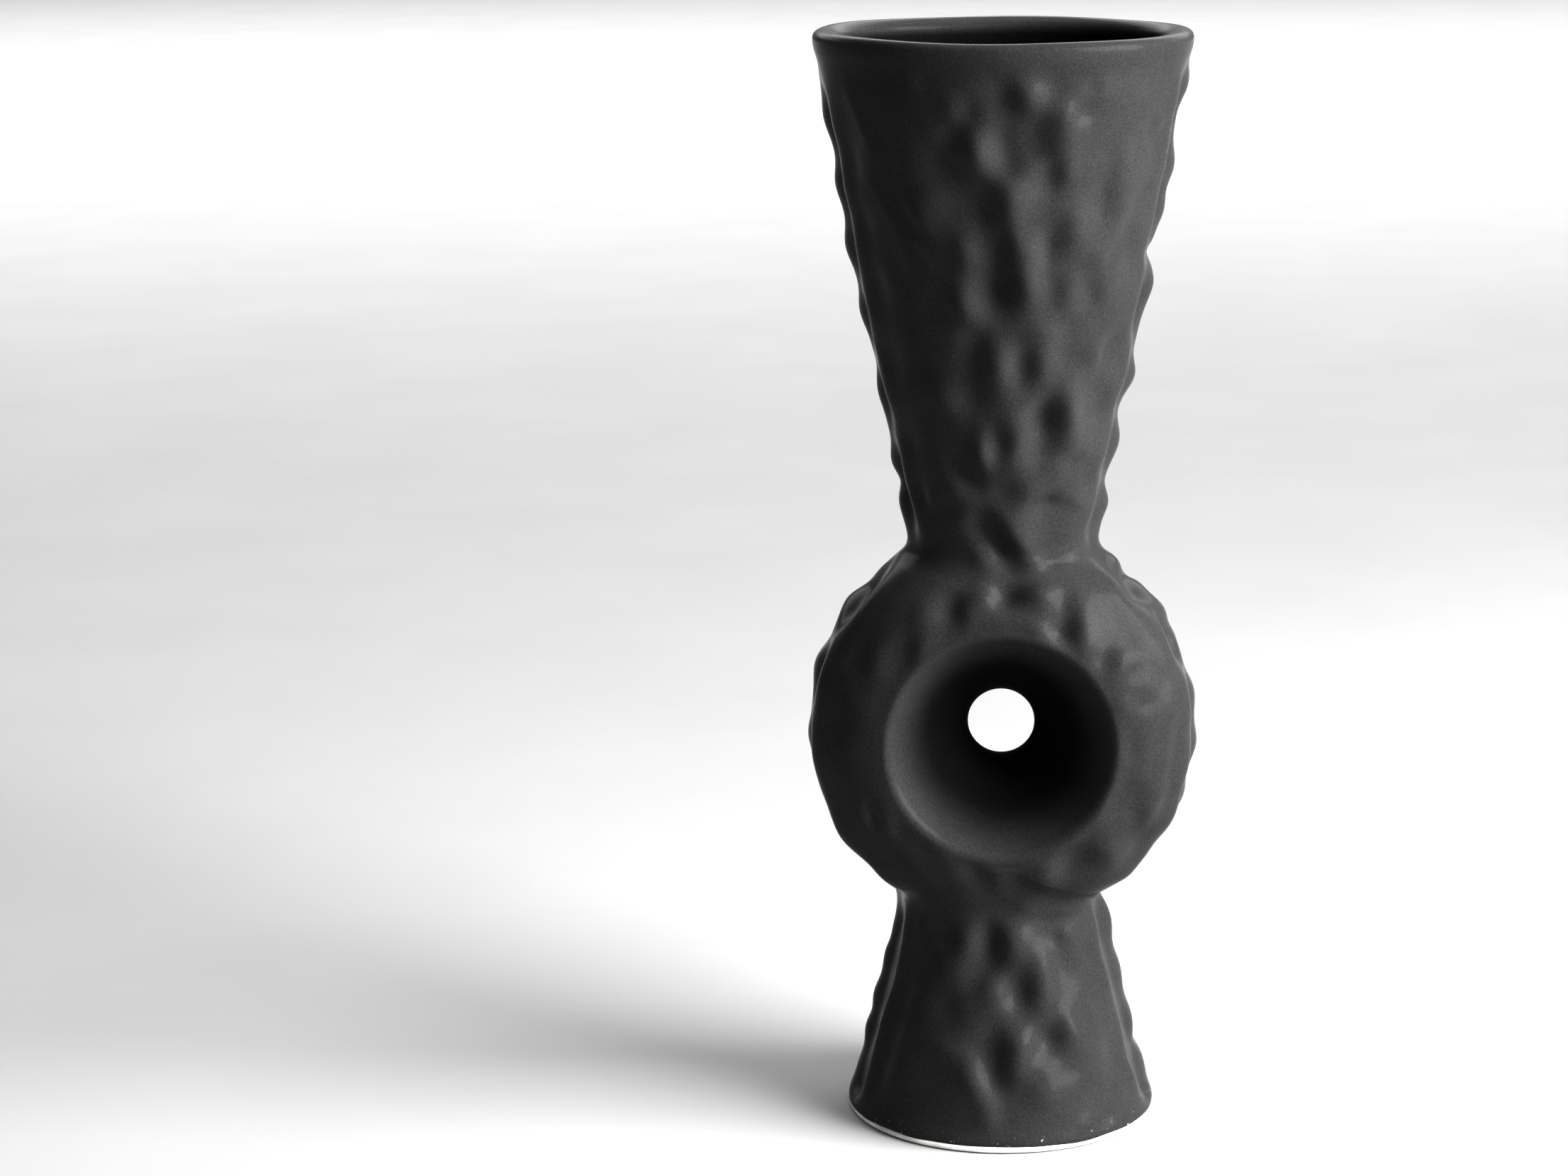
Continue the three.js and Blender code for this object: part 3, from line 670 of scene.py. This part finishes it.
OUTSIDE_NODES = [
    "rim_coil",
    "neck_wall",
    "neck_joint_coil",
    "body_front_shell",
    "body_back_shell",
    "tunnel_front_cone",
    "tunnel_back_cone",
    "foot_joint_coil",
    "foot_wall",
]


def outside_mask():
    mask = np.zeros(len(base), bool)
    for node in OUTSIDE_NODES:
        piece = pieces[node]
        size = piece["loops"].shape[1]
        index = np.arange(len(piece["points"]))
        mask[piece["start"] + index[index % size < piece["outside"]]] = True
    return mask


def lip_rise(points):
    """The rim isn't quite level: it stands highest on the left and at the back."""
    x, y, z = points.T
    angle = np.arctan2(y, x)
    rise = 1.3 - 0.5 * np.cos(angle) + 0.45 * np.sin(angle) + 0.22 * np.cos(2 * angle)
    return (rise + 0.2 * np.sin(5 * angle + 1)) * smoothstep(z, LIP_RISE_START, HEIGHT)


outside = outside_mask()
finished = base.copy()
base_normals = smooth_normals(base)
heights = relief(base[outside], base_normals[outside])
finished[outside] += base_normals[outside] * heights[:, None]
finished[:, 2] += lip_rise(base)
finished_normals = smooth_normals(finished)

# ---- Materials ----

# Painted shade: the inside is painted a darker black and made duller, from this far below the tunnel's lip
# and the rim's crown, where the hollows lie in shade.
PAINTED_INSIDE_SHADE, INSIDE_ROUGHER, INSIDE_COAT = 0.2, 0.45, 0.1
TUNNEL_FADE = 1.0, 26.0
RIM_FADE = 3.5, 8.0
LIP_LOOPS = 13  # loops of the rim from its outer edge over to the inner corner


def painted_inside_shade(node, piece):
    """How far each point has the inside's painted shade: 0 outside, 1 inside, rising down the tunnel."""
    index = np.arange(len(piece["points"])) % piece["loops"].shape[1]
    beyond = index - piece["outside"]
    if node.startswith("tunnel") or node == "throat_collar":
        return smoothstep(FACE_DEPTH - np.abs(piece["points"][:, 1]), *TUNNEL_FADE)
    if node == "rim_coil":
        return smoothstep(HEIGHT - piece["points"][:, 2], *RIM_FADE) * (beyond > LIP_LOOPS)
    return np.where(beyond < 0, 0.0, 1.0)



def node_material(name):
    material = bpy.data.materials.new(name)
    material.use_nodes = True
    nodes, links = material.node_tree.nodes, material.node_tree.links
    return material, nodes, links, nodes["Principled BSDF"]


def noise(nodes, links, coords, scale, detail=3.0, roughness=0.5):
    node = nodes.new("ShaderNodeTexNoise")
    node.inputs["Scale"].default_value = scale
    node.inputs["Detail"].default_value = detail
    node.inputs["Roughness"].default_value = roughness
    links.new(coords.outputs["Object"], node.inputs["Vector"])
    return node.outputs["Fac"]


def ramp(nodes, links, source, stops):
    node = nodes.new("ShaderNodeValToRGB")
    elements = node.color_ramp.elements
    while len(elements) < len(stops):
        elements.new(0.5)
    for element, (place, value) in zip(elements, stops):
        element.position = place
        element.color = (*value, 1) if isinstance(value, tuple) else (value, value, value, 1)
    links.new(source, node.inputs["Fac"])
    return node.outputs["Color"]


def multiply(nodes, links, colour, factor):
    node = nodes.new("ShaderNodeVectorMath")
    node.operation = "MULTIPLY"
    links.new(colour, node.inputs[0])
    links.new(factor, node.inputs[1])
    return node.outputs["Vector"]


def bump(nodes, links, height, strength, distance, before=None):
    node = nodes.new("ShaderNodeBump")
    node.inputs["Strength"].default_value = strength
    node.inputs["Distance"].default_value = distance
    links.new(height, node.inputs["Height"])
    if before is not None:
        links.new(before, node.inputs["Normal"])
    return node.outputs["Normal"]


def black_glaze():
    material, nodes, links, shader = node_material("matte_black_glaze")
    coords = nodes.new("ShaderNodeTexCoord")
    # The inside attribute holds the painted shade of the tunnel and of the vase's inside.
    inside = nodes.new("ShaderNodeAttribute")
    inside.attribute_name = "inside"
    inside = inside.outputs["Fac"]
    cloud = noise(nodes, links, coords, 35, 4)
    grain = noise(nodes, links, coords, 1500, 2)
    orange_peel = noise(nodes, links, coords, 240, 3)

    tone = ramp(nodes, links, cloud, [(0.3, (0.0255, 0.0255, 0.026)), (0.7, (0.0315, 0.0315, 0.032))])
    tone = multiply(nodes, links, tone, ramp(nodes, links, grain, [(0.3, 0.7), (0.7, 1.28)]))
    # Painted shade: the inside's colour is darkened, down to the shade factor set above.
    tone = multiply(nodes, links, tone, ramp(nodes, links, inside, [(0.0, 1.0), (1.0, PAINTED_INSIDE_SHADE)]))

    # Small pale chips where the glaze ends, a few millimetres above the floor.
    chips = ramp(nodes, links, noise(nodes, links, coords, 420, 2), [(0.68, 0.0), (0.71, 1.0)])
    place = nodes.new("ShaderNodeSeparateXYZ")
    links.new(coords.outputs["Object"], place.inputs["Vector"])
    low = ramp(nodes, links, place.outputs["Z"], [(0.003, 1.0), (0.008, 0.0)])
    chipped = nodes.new("ShaderNodeMixRGB")
    links.new(multiply(nodes, links, chips, low), chipped.inputs["Fac"])
    links.new(tone, chipped.inputs["Color1"])
    chipped.inputs["Color2"].default_value = (0.6, 0.59, 0.57, 1)
    links.new(chipped.outputs["Color"], shader.inputs["Base Color"])

    rough = nodes.new("ShaderNodeMath")
    links.new(ramp(nodes, links, orange_peel, [(0.3, 0.46), (0.7, 0.54)]), rough.inputs[0])
    links.new(ramp(nodes, links, inside, [(0.0, 0.0), (1.0, INSIDE_ROUGHER)]), rough.inputs[1])
    links.new(rough.outputs["Value"], shader.inputs["Roughness"])

    # A very thin clear coat: bright lines where the surface turns away, hardly any in front.
    links.new(ramp(nodes, links, inside, [(0.0, 1.0), (1.0, INSIDE_COAT)]), shader.inputs["Coat Weight"])
    shader.inputs["Specular IOR Level"].default_value = 0.02
    shader.inputs["Coat Roughness"].default_value = 0.2
    shader.inputs["Coat IOR"].default_value = 1.07

    normal = bump(nodes, links, orange_peel, 0.35, 0.0003)
    normal = bump(nodes, links, grain, 0.5, 0.00015, normal)
    links.new(normal, shader.inputs["Normal"])
    return material


def bare_clay():
    material, nodes, links, shader = node_material("bare_pale_clay")
    coords = nodes.new("ShaderNodeTexCoord")
    stain = noise(nodes, links, coords, 90, 5)
    grit = noise(nodes, links, coords, 1100, 3)
    links.new(
        ramp(nodes, links, stain, [(0.3, (0.52, 0.505, 0.48)), (0.62, (0.85, 0.84, 0.81))]),
        shader.inputs["Base Color"],
    )
    links.new(ramp(nodes, links, grit, [(0.3, 0.8), (0.7, 0.95)]), shader.inputs["Roughness"])
    links.new(bump(nodes, links, grit, 0.5, 0.0002), shader.inputs["Normal"])
    return material


MATERIALS = {"black_glaze": black_glaze(), "bare_clay": bare_clay()}

# ---- Meshes ----


def add_mesh(name, points, faces, normals=None):
    mesh = bpy.data.meshes.new(name)
    mesh.from_pydata((points * MM).tolist(), [], faces)
    mesh.polygons.foreach_set("use_smooth", np.ones(len(mesh.polygons), bool))
    if normals is not None:
        mesh.normals_split_custom_set_from_vertices(normals.tolist())
    obj = bpy.data.objects.new(name, mesh)
    bpy.context.scene.collection.objects.link(obj)
    return obj


def stand_for(obj, node, slot):
    obj.data.materials.append(MATERIALS[slot])
    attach(obj, "root")
    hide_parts(node)


def add_piece(node, piece):
    span = slice(piece["start"], piece["start"] + len(piece["points"]))
    obj = add_mesh(f"{node}_fine", finished[span], piece["quads"].tolist(), finished_normals[span])
    # The inside attribute: how far each point carries the painted shade of the inside.
    inside = obj.data.attributes.new("inside", "FLOAT", "POINT")
    inside.data.foreach_set("value", painted_inside_shade(node, piece))
    stand_for(obj, node, piece["slot"])


def add_floor_slab():
    """The floor: a disc with a slightly dished top and soft edges."""
    radius = foot_radius(FLOOR_HIGH) - WALL
    low, high = FLOOR_LOW, FLOOR_HIGH
    profile = [(radius * t, high - 0.8 * (1 - t**2)) for t in np.linspace(0, 1, 16)[1:]]
    profile += [(radius - 0.4, low + 0.4), (radius - 1, low)] + [(radius * t, low) for t in (0.7, 0.4)]
    profile = np.array(profile)
    rows = round_ring(profile[:, 0], profile[:, 1]).transpose(1, 0, 2)
    points = np.concatenate([rows.reshape(-1, 3), [[0, 0, high - 0.8]], [[0, 0, low]]])
    faces = []
    for k in range(COLUMNS):
        after = (k + 1) % COLUMNS
        faces.append((len(points) - 2, k, after))
        for row in range(len(profile) - 1):
            here = row * COLUMNS
            faces.append((here + k, here + COLUMNS + k, here + COLUMNS + after, here + after))
        last = (len(profile) - 1) * COLUMNS
        faces.append((len(points) - 1, last + after, last + k))
    stand_for(add_mesh("floor_slab_fine", points, faces), "floor_slab", "bare_clay")


for node, piece in pieces.items():
    add_piece(node, piece)
add_floor_slab()

# ---- Studio ----

FLOOR_HALF_WIDTH = 14
CAMERA_PLACE = Vector((0.0, -1.640, 0.617))
CAMERA_AIM = Vector((-0.0997, 0.0, 0.2473))
CAMERA_ROLL = -0.0112
CAMERA_LENS = 84.14
KEY_PLACE, KEY_AIM = (1.27, -0.50, 0.86), (0, 0, 0.25)
KEY_WIDTH, KEY_HEIGHT, KEY_POWER = 1.05, 1.05, 132
BACKDROP_PLACE, BACKDROP_AIM = (0, 5.6, 2.4), (0, 5.6, 0)
BACKDROP_WIDTH, BACKDROP_DEPTH, BACKDROP_POWER = 10, 6, 520
OVERHEAD_AZIMUTH, OVERHEAD_ELEVATION, OVERHEAD_SPREAD, OVERHEAD_STRENGTH = -60, 70, 50, 1.8
WORLD_STRENGTH = 0.32


def add_floor():
    side = np.linspace(-FLOOR_HALF_WIDTH, FLOOR_HALF_WIDTH, 29)
    x, y = np.meshgrid(side, side)
    points = np.stack([x, y, 0 * x], -1).reshape(-1, 3) / MM
    count = len(side)
    corner = (np.arange(count - 1)[:, None] * count + np.arange(count - 1)[None, :]).reshape(-1)
    faces = np.stack([corner, corner + 1, corner + count + 1, corner + count], -1)
    floor = add_mesh("studio_floor", points, faces.tolist())
    material, nodes, links, shader = node_material("pale_floor")
    coords = nodes.new("ShaderNodeTexCoord")
    paper = noise(nodes, links, coords, 6, 3)
    links.new(ramp(nodes, links, paper, [(0.3, 0.35), (0.7, 0.365)]), shader.inputs["Base Color"])
    shader.inputs["Roughness"].default_value = 0.9
    floor.data.materials.append(material)


def add_sun(name, azimuth, elevation, spread, strength):
    """A distant light, round the vase from +X towards the front; spread is its width in degrees."""
    data = bpy.data.lights.new(name, "SUN")
    data.angle = math.radians(spread)
    data.energy = strength
    light = bpy.data.objects.new(name, data)
    turn, rise = math.radians(azimuth), math.radians(elevation)
    towards = Vector((math.cos(rise) * math.cos(turn), -math.cos(rise) * math.sin(turn), math.sin(rise)))
    light.rotation_mode = "QUATERNION"
    light.rotation_quaternion = (-towards).to_track_quat("-Z", "Y")
    light.location = 3 * towards
    bpy.context.scene.collection.objects.link(light)


def add_softbox(name, place, aim, width, height, power_w):
    data = bpy.data.lights.new(name, "AREA")
    data.shape = "RECTANGLE"
    data.size, data.size_y = width, height
    data.energy = power_w
    light = bpy.data.objects.new(name, data)
    light.location = place
    light.rotation_mode = "QUATERNION"
    light.rotation_quaternion = (Vector(aim) - Vector(place)).to_track_quat("-Z", "Y")
    light.visible_camera = False
    bpy.context.scene.collection.objects.link(light)


def add_world(strength):
    world = bpy.data.worlds.new("white_room")
    world.use_nodes = True
    background = world.node_tree.nodes["Background"]
    background.inputs["Color"].default_value = (1, 1, 1, 1)
    background.inputs["Strength"].default_value = strength
    bpy.context.scene.world = world


def add_camera():
    data = bpy.data.cameras.new("camera")
    data.sensor_width = 36
    data.lens = CAMERA_LENS
    camera = bpy.data.objects.new("camera", data)
    camera.location = CAMERA_PLACE
    camera.rotation_mode = "QUATERNION"
    aim = (CAMERA_AIM - CAMERA_PLACE).to_track_quat("-Z", "Y")
    camera.rotation_quaternion = aim @ Quaternion((0, 0, 1), CAMERA_ROLL)
    bpy.context.scene.collection.objects.link(camera)
    bpy.context.scene.camera = camera


add_floor()
add_world(WORLD_STRENGTH)
add_softbox("key", KEY_PLACE, KEY_AIM, KEY_WIDTH, KEY_HEIGHT, KEY_POWER)
add_softbox("backdrop", BACKDROP_PLACE, BACKDROP_AIM, BACKDROP_WIDTH, BACKDROP_DEPTH, BACKDROP_POWER)
add_sun("overhead", OVERHEAD_AZIMUTH, OVERHEAD_ELEVATION, OVERHEAD_SPREAD, OVERHEAD_STRENGTH)
add_camera()
bpy.context.scene.view_settings.view_transform = "Standard"
bpy.context.scene.view_settings.gamma = 0.8
